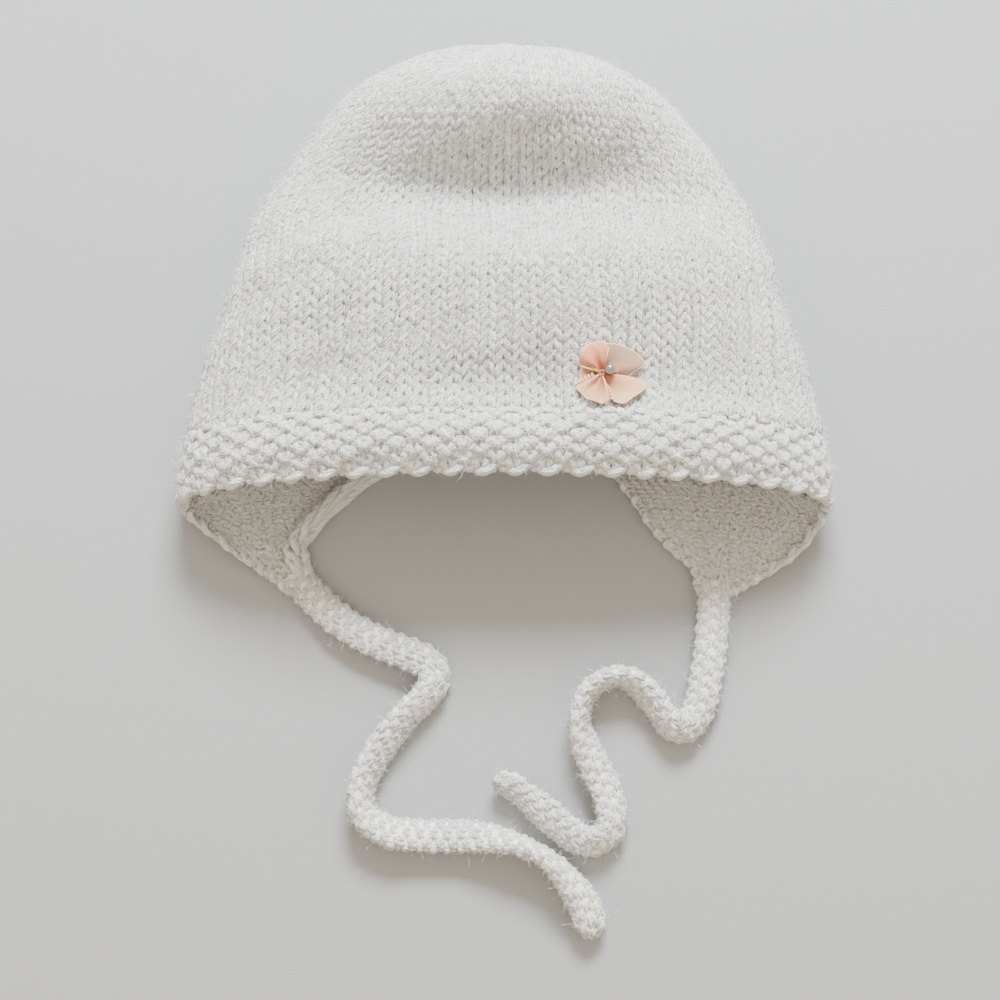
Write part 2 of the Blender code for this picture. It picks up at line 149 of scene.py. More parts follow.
# Ribbon flower: places from the bead, across and back
FLOWER_PATCH = 0.030
GATHER_X = -0.0018
GATHER_Y = -0.0009
BEAD_HEIGHT = 0.0028
RIBBON_WALL = 0.00012
RIBBON_EDGE = 0.00023
RIBBON_THREADS = 150.0
PICOT_STEP = 0.00095
PICOT_YARN = 0.00012
PICOT_START = 0.0022
PICOT_OUT = 0.0004
PICOT_HALF_LENGTH = 0.00022
PICOT_HALF_WIDTH = 0.00052
FOLD_DEPTH = 0.00056
KNOT_YARN = 0.0005
KNOT_RADIUS = 0.0006
KNOT_HEIGHT = 0.0016

# Camera and picture
EYE_DISTANCE = 0.520
EYE_TILT = math.radians(7.0)
AIM = (-0.0012, -0.04835)
FIELD = 0.270

# Colours, the lit one before the shaded one where there are two
WHITE_YARN = ((0.96, 0.955, 0.94), (0.36, 0.35, 0.32))
# A lighter copy of the crown's yarn for the band, flaps and ties, which lie more in shade: painted light
PAINTED_LIGHT_YARN = ((0.99, 0.985, 0.97), (0.76, 0.745, 0.71))
# Colours of the sheets between the stitches, darker than the yarn: painted shade in the gaps; the pale
# one, for the band and ties, is lighter, and the flap one darker for the flaps' dark holes
CROWN_GAP_SHADE = (0.62, 0.60, 0.56)
PALE_GAP_SHADE = (0.80, 0.78, 0.74)
FLAP_GAP_SHADE = (0.44, 0.40, 0.34)
LOOSE_FIBRES = (0.90, 0.89, 0.86)
GOLDEN_EDGE = (0.93, 0.50, 0.24)
PICOT_PINK = (0.97, 0.60, 0.42)
PEARL = (0.30, 0.27, 0.29)
FLOOR_GREY = (0.33, 0.335, 0.35)

# Satin by look: the material's name, its colour at the gather and its colour outwards
SATINS = {
    "deep": ("peach_satin", (0.56, 0.12, 0.06), (0.72, 0.28, 0.16)),
    "pale": ("pale_satin", (0.44, 0.17, 0.09), (0.38, 0.25, 0.16)),
    "cream": ("cream_satin", (0.60, 0.20, 0.10), (0.84, 0.52, 0.30)),
    "warm": ("warm_satin", (0.46, 0.09, 0.04), (0.98, 0.56, 0.34)),
    # The shade look is a darker copy of the satin for the fold under the left petals: painted shade
    "shade": ("shaded_satin", (0.36, 0.13, 0.06), (0.52, 0.30, 0.18)),
}

# Floor and light
FLOOR_SIZE = 3.0
FLOOR_DROP = 0.0002
ROOM_COLOUR = (1.0, 0.88, 0.70)
ROOM_STRENGTH = 1.45
WINDOW_PLACE = (0.08, 0.80, 0.59)
WINDOW_SIZE = (0.45, 0.26)
WINDOW_POWER = 42.0
WINDOW_COLOUR = (0.90, 0.97, 1.0)


def named_rows(columns, rows):
    """Rows of values with a name for each column."""
    return [dict(zip(columns.split(), row)) for row in rows]


# along: share of the way from the opening edge to the gathered end
# width: share of HALF_WIDTH, top: share of HEIGHT, lift: share of END_HEIGHT under the cap
# The ridge from 0.8 on stands up to 2 mm higher than in the solids
CAP_SECTIONS = named_rows("along width top lift", (
    (0.000, 1.000, 0.88, 0.00),
    (0.050, 0.992, 0.97, 0.00),
    (0.117, 0.980, 0.99, 0.00),
    (0.190, 0.963, 0.92, 0.00),
    (0.294, 0.925, 0.95, 0.00),
    (0.369, 0.888, 0.985, 0.00),
    (0.435, 0.857, 1.00, 0.00),
    (0.524, 0.823, 0.985, 0.00),
    (0.627, 0.765, 0.93, 0.00),
    (0.685, 0.713, 0.90, 0.00),
    (0.757, 0.646, 0.875, 0.00),
    (0.809, 0.585, 0.90, 0.02),
    (0.861, 0.521, 0.90, 0.06),
    (0.909, 0.441, 0.81, 0.14),
    (0.945, 0.351, 0.67, 0.28),
    (0.968, 0.280, 0.56, 0.42),
    (0.985, 0.180, 0.46, 0.60),
    (1.000, 0.000, 0.30, 1.00),
))

# across: share of HALF_WIDTH, along: share of FRONT_LENGTH from the front edge
# wide and long: the dent's reach in the same shares, deep: share of HEIGHT
# The crown valley is deeper and wider than in the solids, so that it shades as in the photo
DENTS = named_rows("name across along wide long deep", (
    ("crown valley", 0.02, 0.635, 0.72, 0.102, 0.45),
    ("above the band", -0.02, 0.167, 0.23, 0.075, 0.07),
    ("left temple", -0.60, 0.215, 0.14, 0.117, 0.07),
    ("beside the flower", 0.11, 0.200, 0.09, 0.100, 0.05),
    ("right temple", 0.52, 0.235, 0.17, 0.084, 0.05),
))

# Edges of the flaps: x as a share of HALF_WIDTH, drop as a share of FLAP_LENGTH below the fold's edge
# curl: how far the outer edge stands up, as a share of the band's own curve
FLAP_COLUMNS = "inner_x inner_drop outer_x outer_drop curl"
LEFT_FLAP = named_rows(FLAP_COLUMNS, (
    (0.315, -0.440, 1.000, 0.000, 1.00),
    (0.420, -0.190, 0.990, 0.095, 0.88),
    (0.522, 0.120, 0.910, 0.330, 0.58),
    (0.597, 0.390, 0.793, 0.630, 0.25),
    (0.606, 0.560, 0.722, 0.810, 0.08),
    (0.588, 0.725, 0.668, 0.985, 0.00),
))
RIGHT_FLAP = named_rows(FLAP_COLUMNS, (
    (0.292, -0.440, 1.000, 0.000, 1.00),
    (0.367, -0.100, 0.992, 0.145, 0.88),
    (0.441, 0.263, 0.915, 0.500, 0.58),
    (0.512, 0.510, 0.811, 0.760, 0.25),
    (0.572, 0.690, 0.743, 0.905, 0.08),
    (0.588, 0.960, 0.700, 0.985, 0.00),
))

# Routes of the ties on the table: x, y and the twist in degrees, 0 lying flat and 90 on its edge
LEFT_ROUTE = (
    (-0.0540, -0.0714, 0),
    (-0.0510, -0.0748, 0),
    (-0.0457, -0.0796, 4),
    (-0.0395, -0.0839, 8),
    (-0.0328, -0.0871, 8),
    (-0.0262, -0.0897, 6),
    (-0.0217, -0.0916, 10),
    (-0.0188, -0.0942, 24),
    (-0.0186, -0.0976, 38),
    (-0.0213, -0.1017, 44),
    (-0.0261, -0.1063, 44),
    (-0.0304, -0.1118, 42),
    (-0.0343, -0.1174, 42),
    (-0.0371, -0.1230, 46),
    (-0.0378, -0.1283, 50),
    (-0.0359, -0.1333, 46),
    (-0.0308, -0.1364, 34),
    (-0.0251, -0.1374, 24),
    (-0.0193, -0.1377, 18),
    (-0.0136, -0.1377, 18),
    (-0.0074, -0.1379, 30),
    (-0.0012, -0.1386, 54),
    (0.0040, -0.1400, 76),
    (0.0092, -0.1424, 84),
    (0.0133, -0.1455, 66),
    (0.0169, -0.1496, 44),
    (0.0200, -0.1541, 26),
    (0.0220, -0.1588, 16),
    (0.0232, -0.1632, 12),
)
RIGHT_ROUTE = (
    (0.0561, -0.0744, 0),
    (0.0558, -0.0790, 0),
    (0.0553, -0.0835, 4),
    (0.0549, -0.0880, 6),
    (0.0541, -0.0925, 6),
    (0.0532, -0.0975, 4),
    (0.0521, -0.1025, 6),
    (0.0504, -0.1066, 16),
    (0.0478, -0.1095, 34),
    (0.0444, -0.1092, 48),
    (0.0416, -0.1056, 52),
    (0.0388, -0.1018, 48),
    (0.0356, -0.0983, 54),
    (0.0322, -0.0962, 66),
    (0.0287, -0.0960, 76),
    (0.0250, -0.0975, 70),
    (0.0218, -0.1003, 68),
    (0.0202, -0.1041, 74),
    (0.0199, -0.1083, 66),
    (0.0210, -0.1131, 46),
    (0.0228, -0.1174, 32),
    (0.0249, -0.1217, 24),
    (0.0268, -0.1259, 24),
    (0.0281, -0.1303, 30),
    (0.0282, -0.1343, 36),
    (0.0267, -0.1375, 40),
    (0.0234, -0.1391, 38),
    (0.0195, -0.1384, 32),
    (0.0147, -0.1351, 26),
    (0.0093, -0.1304, 24),
    (0.0051, -0.1270, 26),
    (0.0012, -0.1241, 34),
    (-0.0020, -0.1238, 44),
)

# rim: degrees round the gather and metres out from it, from one edge of the ribbon to the other
RIBBON_PETALS = named_rows("name look picots lift level folds turn rim", (
    ("left_fold", "shade", False, 0.0008, 0.0008, 1.0, 0.0, (
        (218, 0.0050), (205, 0.0056), (192, 0.0055), (176, 0.0052), (160, 0.0048), (150, 0.0044),
    )),
    ("upper_right", "pale", False, 0.0007, 0.0005, 1.2, 0.1, (
        (84, 0.0076), (66, 0.0082), (48, 0.0092), (30, 0.0106), (15, 0.0116), (5, 0.0078), (-4, 0.0070),
    )),
    ("lower_right", "cream", True, 0.0009, 0.0007, 1.0, 0.6, (
        (-8, 0.0110), (-16, 0.0119), (-26, 0.0111), (-40, 0.0100), (-56, 0.0098), (-68, 0.0080),
    )),
    ("upper_left", "deep", False, 0.0015, 0.0006, 2.0, 0.3, (
        (161, 0.0056), (149, 0.0066), (131, 0.0073), (111, 0.0080), (92, 0.0080), (76, 0.0072),
    )),
    ("lower_left", "warm", True, 0.0014, 0.0007, 2.5, 0.0, (
        (-78, 0.0078), (-90, 0.0083), (-104, 0.0081), (-118, 0.0079), (-136, 0.0076), (-154, 0.0072),
    )),
))


# Shape of the cap

def smooth_read(rows, key, column, at):
    """A column of a table at one place, on a smooth curve through its rows."""
    places = [row[key] for row in rows]
    values = [row[column] for row in rows]
    last = len(places) - 1
    at = min(max(at, places[0]), places[last])
    i = next(k for k in range(last) if at <= places[k + 1])

    def slope(k):
        before, after = max(k - 1, 0), min(k + 1, last)
        return (values[after] - values[before]) / (places[after] - places[before])

    span = places[i + 1] - places[i]
    t = (at - places[i]) / span
    return (
        (2 * t**3 - 3 * t**2 + 1) * values[i]
        + (t**3 - 2 * t**2 + t) * span * slope(i)
        + (3 * t**2 - 2 * t**3) * values[i + 1]
        + (t**3 - t**2) * span * slope(i + 1)
    )


def edge_roundness(across):
    """1 in the middle of a layer and 0 at its folds, with a soft turn at the folds."""
    softened = math.sqrt(1 - EDGE_SOFTENING)
    return (np.sqrt(np.maximum(1 - EDGE_SOFTENING * across * across, 0.0)) - softened) / (1 - softened)


def edge_y(along, upper, roundness):
    middle_length = FRONT_LENGTH if upper else BACK_LENGTH
    length = SIDE_LENGTH + (middle_length - SIDE_LENGTH) * roundness
    return END_Y - length * (1 - along)


def half_section(along, upper, swell, samples=160):
    """Half of the cap's ring as arrays of x, z and roundness, from the right fold to the left."""
    width = HALF_WIDTH * max(smooth_read(CAP_SECTIONS, "along", "width", along), 0.004) + swell
    bottom = END_HEIGHT * max(smooth_read(CAP_SECTIONS, "along", "lift", along), 0.0)
    top = max(HEIGHT * smooth_read(CAP_SECTIONS, "along", "top", along) + swell, bottom)
    fold = bottom + min(FOLD_HEIGHT, (top - bottom) / 2)
    angle = np.linspace(0, math.pi, samples + 1)
    power = 2 / (UPPER_ROUNDNESS if upper else LOWER_ROUNDNESS)
    x = np.sign(np.cos(angle)) * np.abs(np.cos(angle)) ** power * width
    rise = np.maximum(np.sin(angle), 0.0) ** power
    if upper:
        z = fold + (top - fold) * rise
    else:
        z = np.maximum(bottom, fold - (fold - bottom) * rise * BOTTOM_FLATTENING)
    return x, z, edge_roundness(x / width)


def dented(x, y, z, roundness):
    front_y = END_Y - FRONT_LENGTH
    for dent in DENTS:
        across = (x / HALF_WIDTH - dent["across"]) / dent["wide"]
        along = ((y - front_y) / FRONT_LENGTH - dent["along"]) / dent["long"]
        z = z - HEIGHT * dent["deep"] * roundness * np.exp(-across * across - along * along)
    return z


def cap_ring(along, swell, columns):
    """One ring of the cap as an array of points, right fold, top, left fold, bottom."""
    layers = []
    for upper in (True, False):
        x, z, roundness = half_section(along, upper, swell)
        reached = np.concatenate([[0], np.cumsum(np.hypot(np.diff(x), np.diff(z)))])
        wanted = reached[-1] * np.arange(columns // 2) / (columns // 2)
        x, z, roundness = (np.interp(wanted, reached, a) for a in (x, z, roundness))
        y = edge_y(along, upper, roundness)
        if upper:
            z = dented(x, y, z, roundness)
        layers.append(np.stack([x if upper else -x, y, z], axis=1))
    points = np.concatenate(layers)
    strength = min(max((along - GATHER_START) / (1 - GATHER_START), 0.0), 1.0)
    pleat = 0.5 - 0.5 * np.cos(2 * math.pi * GATHER_COUNT * np.arange(columns) / columns)
    draw = 1 - GATHER_DEPTH * strength * pleat
    middle = points[:, 2].mean()
    points[:, 0] *= draw
    points[:, 2] = middle + (points[:, 2] - middle) * draw
    return points


def unit(vectors):
    return vectors / np.maximum(np.linalg.norm(vectors, axis=-1, keepdims=True), 1e-12)


def line_length(points):
    return np.linalg.norm(np.diff(points, axis=0), axis=1).sum()


def path_lengths(points):
    """How far along a line of points each of them lies."""
    return np.concatenate([[0], np.cumsum(np.linalg.norm(np.diff(points, axis=0), axis=1))])


class Sheet:
    """A smooth surface through a grid of points, read at a place along it and a share round it."""

    def __init__(self, places, grid, closed, facing=1):
        self.places, self.grid, self.closed = np.asarray(places), grid, closed
        along = np.gradient(grid, axis=0)
        if closed:
            around = (np.roll(grid, -1, axis=1) - np.roll(grid, 1, axis=1)) / 2
        else:
            around = np.gradient(grid, axis=1)
        self.normals = unit(np.cross(around, along) * facing)

    def read(self, along, around, out):
        rows, columns = self.grid.shape[:2]
        a = np.interp(along, self.places, np.arange(rows))
        i = np.clip(a.astype(int), 0, rows - 2)
        f = (a - i)[:, None]
        b = np.mod(around, 1.0) * columns if self.closed else np.clip(around, 0, 1) * (columns - 1)
        j = np.floor(b).astype(int)
        j = np.mod(j, columns) if self.closed else np.clip(j, 0, columns - 2)
        g = (b - np.floor(b))[:, None] if self.closed else (b - j)[:, None]
        k = np.mod(j + 1, columns)
        result = []
        for data in (self.grid, self.normals):
            low = data[i, j] * (1 - g) + data[i, k] * g
            high = data[i + 1, j] * (1 - g) + data[i + 1, k] * g
            result.append(low * (1 - f) + high * f)
        normal = unit(result[1])
        return result[0] + normal * np.asarray(out)[:, None], normal


def cap_sheet(first, last, swell_of, rows, columns=480, crowding=1.0):
    share = 1 - (1 - np.linspace(0, 1, rows)) ** crowding
    places = first + (last - first) * share
    grid = np.stack([cap_ring(float(a), swell_of(float(a)), columns) for a in places])
    return Sheet(places, grid, True, -1)


# Yarn along paths on a surface

class Yarn:
    """Collects yarn paths and turns them into one tube mesh, with a UV that runs along and round it."""

    def __init__(self, radius, flatness=0.88):
        self.radius, self.flatness = radius, flatness
        self.points, self.normals, self.radii, self.ends = [], [], [], []

    def add(self, points, normals, closed, radius=None):
        self.points.append(points)
        self.normals.append(normals)
        swell = 1 + YARN_SWELL * np.sin(len(self.points) * 1.7 + np.arange(len(points)) * 0.37)
        self.radii.append((radius or self.radius) * swell)
        self.ends.append(closed)

    def build(self, name, material):
        vertices, faces, uvs, offset = [], [], [], 0
        turn = 2 * math.pi * np.arange(YARN_SIDES) / YARN_SIDES
        for points, normals, radii, closed in zip(self.points, self.normals, self.radii, self.ends):
            if closed:
                tangent = np.roll(points, -1, axis=0) - np.roll(points, 1, axis=0)
            else:
                tangent = np.gradient(points, axis=0)
            tangent = unit(tangent)
            side = unit(np.cross(tangent, normals))
            up = np.cross(side, tangent)
            ring = side[:, None] * np.cos(turn)[None, :, None]
            ring = ring + up[:, None] * np.sin(turn)[None, :, None] * self.flatness
            tube = points[:, None] + ring * radii[:, None, None]
            vertices.append(tube.reshape(-1, 3))
            count = len(points)
            i = np.arange(count if closed else count - 1)
            after = np.mod(i + 1, count)
            k = np.arange(YARN_SIDES)
            k2 = np.mod(k + 1, YARN_SIDES)
            quad = np.stack(
                [
                    i[:, None] * YARN_SIDES + k,
                    after[:, None] * YARN_SIDES + k,
                    after[:, None] * YARN_SIDES + k2,
                    i[:, None] * YARN_SIDES + k2,
                ],
                axis=2,
            ).reshape(-1, 4)
            faces.append(quad + offset)
            offset += count * YARN_SIDES
            step = np.linalg.norm(np.diff(points, axis=0, append=points[:1]), axis=1)
            reached = np.concatenate([[0], np.cumsum(step)])[: count + 1] / PLY_PITCH
            u0 = np.repeat(reached[i][:, None], YARN_SIDES, 1)
            u1 = np.repeat(reached[i + 1][:, None], YARN_SIDES, 1)
            v0 = np.repeat((k / YARN_SIDES)[None], len(i), 0)
            v1 = v0 + 1 / YARN_SIDES
            corner = [np.stack(p, 2) for p in ((u0, v0), (u1, v0), (u1, v1), (u0, v1))]
            uvs.append(np.stack(corner, 2).reshape(-1, 2))
        vertices, faces, uvs = (np.concatenate(a) for a in (vertices, faces, uvs))
        return mesh_object(name, vertices, faces, material, uvs)


def mesh_object(name, vertices, faces, material, uvs=None):
    """A mesh of quads or triangles from arrays."""
    mesh = bpy.data.meshes.new(name)
    sides = faces.shape[1]
    mesh.vertices.add(len(vertices))
    mesh.vertices.foreach_set("co", vertices.astype(np.float32).ravel())
    mesh.loops.add(faces.size)
    mesh.loops.foreach_set("vertex_index", faces.astype(np.int32).ravel())
    mesh.polygons.add(len(faces))
    mesh.polygons.foreach_set("loop_start", np.arange(0, faces.size, sides, dtype=np.int32))
    mesh.polygons.foreach_set("use_smooth", np.full(len(faces), True))
    mesh.update(calc_edges=True)
    if uvs is not None:
        layer = mesh.uv_layers.new(name="yarn")
        layer.data.foreach_set("uv", uvs.astype(np.float32).ravel())
    mesh.validate()
    mesh.materials.append(material)
    thing = bpy.data.objects.new(name, mesh)
    bpy.context.scene.collection.objects.link(thing)
    return thing


def grid_corners(rows, columns, closed=False):
    """The four corners of each face of a grid, as rows and columns."""
    across = np.arange(columns if closed else columns - 1)
    i, j = (a.ravel() for a in np.meshgrid(np.arange(rows - 1), across, indexing="ij"))
    k = np.mod(j + 1, columns)
    return [(i, j), (i, k), (i + 1, k), (i + 1, j)]


def grid_faces(corners, columns):
    return np.stack([i * columns + j for i, j in corners], axis=1)


def moss_signs(stitches, row):
    return np.where((np.arange(stitches) + row) % 2 == 0, 1.0, -1.0)


def per_stitch(rng, spread, stitches, points=STITCH_POINTS):
    """One random value for each stitch, held over all its points."""
    return np.repeat(rng.normal(0, spread, stitches), points)


def stitch_path(edges, signs, loop_width, points=STITCH_POINTS):
    """One row of loops: the share round, the height in rows and the depth from -1 to 1 at each point."""
    t = -math.pi + 2 * math.pi * np.arange(points) / points
    local = 0.5 + t / (2 * math.pi) + loop_width * np.sin(2 * t)
    rise = np.cos(t)
    depth = -np.cos(2 * t)
    hold = np.minimum(1.0, 1.5 * np.cos(t / 2))
    starts, widths = edges[:-1], np.diff(edges)
    around = starts[:, None] + widths[:, None] * local[None]
    same = np.concatenate([[signs[0] == signs[-1]], signs[1:] == signs[:-1]])
    keep = np.where(same[:, None] & np.roll(same, -1)[:, None], 1.0, hold[None])
    deep = signs[:, None] * depth[None] * keep
    high = np.broadcast_to(rise[None], around.shape)
    return around.ravel(), high.ravel(), deep.ravel()


def soft_noise(rng, finest, count=9):
    """Slow random waves over a closed sheet, between about -1 and 1."""
    waves = []
    for _ in range(count):
        waves.append((int(rng.integers(1, finest)), rng.uniform(2, finest), rng.uniform(0, 2 * math.pi)))

    def read(around, along):
        total = sum(np.sin(2 * math.pi * (n * around + m * along) + phase) for n, m, phase in waves)
        return total / math.sqrt(count)

    return read


def fuzz(name, sheet, count, span, out, seed, material):
    """Loose curly fibres over a sheet: most lie close to it, and some stand out."""
    rng = np.random.default_rng(seed)
    along = rng.uniform(*span, count * 2)
    girth = np.linalg.norm(np.diff(sheet.grid, axis=1), axis=2).sum(axis=1)
    weight = np.interp(along, sheet.places, girth) / girth.max()
    along = along[rng.random(count * 2) < weight][:count]
    count = len(along)
    base, normals = sheet.read(along, rng.random(count), np.full(count, out))
    lie = rng.normal(size=(count, 3))
    lie -= normals * (lie * normals).sum(axis=1, keepdims=True)
    lie = unit(lie)
    stand = rng.random(count) < HAIR_STANDING
    rise = np.where(stand, rng.uniform(*STANDING_RISE, count), rng.uniform(*LYING_RISE, count))
    heading = lie + normals * rise[:, None]
    step = np.where(stand, rng.gamma(2.2, 0.00028, count), rng.uniform(*HAIR_STEP, count))
    step = np.minimum(step, HAIR_STEP_LIMIT)
    middle, rows = base.copy(), []
    for k in range(HAIR_POINTS):
        heading = unit(heading)
        side = unit(np.cross(heading, normals + 0.6 * lie))
        half = side * HAIR_WIDTH * (1 - 0.5 * k / (HAIR_POINTS - 1)) / 2
        rows += [middle - half, middle + half]
        middle = middle + heading * step[:, None]
        heading = heading + rng.normal(0, HAIR_KINK, (count, 3)) - normals * 0.12
    vertices = np.stack(rows, axis=1).reshape(-1, 3)
    vertices[:, 2] = np.maximum(vertices[:, 2], 0.0001)
    start = np.arange(count)[:, None] * HAIR_POINTS * 2 + np.arange(HAIR_POINTS - 1)[None] * 2
    faces = np.stack([start, start + 1, start + 3, start + 2], axis=2).reshape(-1, 4)
    return mesh_object(name, vertices, faces, material)


# Materials

def shader_of(name):
    material = bpy.data.materials.new(name)
    material.use_nodes = True
    return material, material.node_tree, material.node_tree.nodes["Principled BSDF"]


def set_values(node, values):
    for name, value in values.items():
        node.inputs[name].default_value = value


def math_node(tree, operation, *values):
    node = tree.nodes.new("ShaderNodeMath")
    node.operation = operation
    for socket, value in zip(node.inputs, values):
        if isinstance(value, (int, float)):
            socket.default_value = value
        else:
            tree.links.new(value, socket)
    return node.outputs[0]


def weighted_sum(tree, *terms):
    """The sum of some values, each times its weight."""
    total = None
    for value, weight in terms:
        term = math_node(tree, "MULTIPLY", value, weight)
        total = math_node(tree, "ADD", total, term) if total else term
    return total


def uv_parts(tree):
    """The two directions of a piece's UV map."""
    uv = tree.nodes.new("ShaderNodeUVMap")
    uv.uv_map = "yarn"
    split = tree.nodes.new("ShaderNodeSeparateXYZ")
    tree.links.new(uv.outputs[0], split.inputs[0])
    return split.outputs[0], split.outputs[1]


def noise_node(tree, vector, scale, detail):
    noise = tree.nodes.new("ShaderNodeTexNoise")
    set_values(noise, {"Scale": scale, "Detail": detail})
    tree.links.new(vector, noise.inputs["Vector"])
    return noise.outputs[0]


def place_noise(tree, scale, detail=2.0):
    """Noise that stays in its place on the piece."""
    coords = tree.nodes.new("ShaderNodeTexCoord")
    return noise_node(tree, coords.outputs["Object"], scale, detail)


def bump_node(tree, height, distance, strength=1.0):
    bump = tree.nodes.new("ShaderNodeBump")
    set_values(bump, {"Strength": strength, "Distance": distance})
    tree.links.new(height, bump.inputs["Height"])
    return bump.outputs[0]


def blend_node(tree, factor, first, second):
    mix = tree.nodes.new("ShaderNodeMix")
    mix.data_type = "RGBA"
    set_values(mix, {"A": (*first, 1), "B": (*second, 1)})
    tree.links.new(factor, mix.inputs["Factor"])
    return mix.outputs["Result"]


def yarn_material(name, light, shade):
    """Soft plied yarn: twisted plies, with fine glossy fibres that run along each ply. Its colour is
    painted from a shaded tone to a lit one: painted highlights along the fibre streaks and ply crests,
    painted shade between them.
    """
    material, tree, shader = shader_of(name)
    link = tree.links.new
    along, around = uv_parts(tree)
    phase = math_node(tree, "ADD", along, math_node(tree, "MULTIPLY", around, float(PLIES)))
    turns = math_node(tree, "SINE", math_node(tree, "MULTIPLY", phase, math.pi))
    ply = math_node(tree, "ABSOLUTE", turns)
    twisted = tree.nodes.new("ShaderNodeCombineXYZ")
    link(math_node(tree, "MULTIPLY", phase, FIBRES_ACROSS), twisted.inputs[0])
    link(math_node(tree, "MULTIPLY", along, FIBRES_ALONG), twisted.inputs[1])
    fibres = noise_node(tree, twisted.outputs[0], 1.0, 4.0)
    fluff = place_noise(tree, 2200, 3.0)
    patches = place_noise(tree, 140)
    height = weighted_sum(tree, (ply, 0.35), (fibres, 1.6), (fluff, 0.7))
    link(bump_node(tree, height, YARN_BUMP), shader.inputs["Normal"])
    # The colour: painted highlight along the fibre streaks and ply crests, painted shade between them
    tone = weighted_sum(tree, (ply, 0.20), (fibres, 4.4), (patches, 0.5))
    tone = math_node(tree, "SUBTRACT", tone, 1.80)
    link(blend_node(tree, tone, shade, light), shader.inputs["Base Color"])
    set_values(shader, {"Roughness": 0.34, "Specular IOR Level": 0.90})
    set_values(shader, {"Sheen Weight": 0.2, "Sheen Roughness": 0.5})
    return material


def cloth_material(name, colour):
    """A plain sheet between the stitches, darker than the yarn: painted shade in the gaps."""
    material, tree, shader = shader_of(name)
    tree.links.new(bump_node(tree, place_noise(tree, 900), 0.0005, 0.5), shader.inputs["Normal"])
    set_values(shader, {"Base Color": (*colour, 1), "Roughness": 0.95, "Specular IOR Level": 0.1})
    return material


def ribbon_material(name, deep, pale):
    """Thin satin ribbon: deeper at the gather, paler outwards, with a fine crosswise weave."""
    material, tree, shader = shader_of(name)
    outwards, across = uv_parts(tree)
    weave = math_node(tree, "SINE", math_node(tree, "MULTIPLY", outwards, RIBBON_THREADS))
    cross = math_node(tree, "SINE", math_node(tree, "MULTIPLY", across, RIBBON_THREADS))
    threads = math_node(tree, "MULTIPLY", weave, cross)
    tree.links.new(bump_node(tree, threads, 0.00006), shader.inputs["Normal"])
    cloud = math_node(tree, "MULTIPLY", place_noise(tree, 260), 0.6)
    tone = math_node(tree, "SUBTRACT", math_node(tree, "ADD", outwards, cloud), 0.25)
    tree.links.new(blend_node(tree, tone, deep, pale), shader.inputs["Base Color"])
    set_values(shader, {"Roughness": 0.34, "Specular IOR Level": 0.5})
    return material


def plain_material(name, colour, values):
    material, _, shader = shader_of(name)
    set_values(shader, {"Base Color": (*colour, 1), **values})
    return material


def dress(piece, nodes):
    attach(piece, "root")
    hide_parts(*nodes)
    return piece


def dress_white(node, *pieces):
    for piece in pieces:
        dress(piece, [node])


# Crown

def layer_marks(length, share, first_length):
    """Where the columns of half a layer lie, as shares from its middle to its fold."""
    gather = np.clip((share - 0.7) / 0.3, 0, 1)
    drawn = 0.35 + 0.65 * gather * gather * (3 - 2 * gather)
    stitches = max(length / 2 / (CROWN_STITCH * (length / first_length) ** drawn), 1.0)
    marks = np.minimum(np.arange(int(round(stitches)) + 1) / stitches, 1.0)
    marks[-1] = 1.0
    return marks


def column_edges(ring, place, first_lengths):
    """The edges of one row's stitches round the cap, counted from the middle of each layer."""
    half = len(ring) // 2
    steps = np.linalg.norm(np.roll(ring, -1, axis=0) - ring, axis=1)
    edges = []
    lengths = (steps[:half].sum(), steps[half:].sum())
    for middle, length, first in zip((0.25, 0.75), lengths, first_lengths):
        marks = layer_marks(length, place, first) * 0.25
        edges.append(middle - marks[::-1])
        edges.append(middle + marks[1:-1])
    return np.concatenate(edges + [[1.0]])


def pucker(around, along):
    """How far the front layer's gathers stand out towards the gathered end."""
    strength = np.clip((along - PUCKER_START) / (1 - PUCKER_START) * 2, 0, 1)
    front = np.maximum(np.sin(2 * math.pi * around), 0)
    wave = 0.6 * np.cos(2 * math.pi * PUCKER_COUNT * (around - 0.25)) + 0.2
    return PUCKER_HEIGHT * strength * front * wave


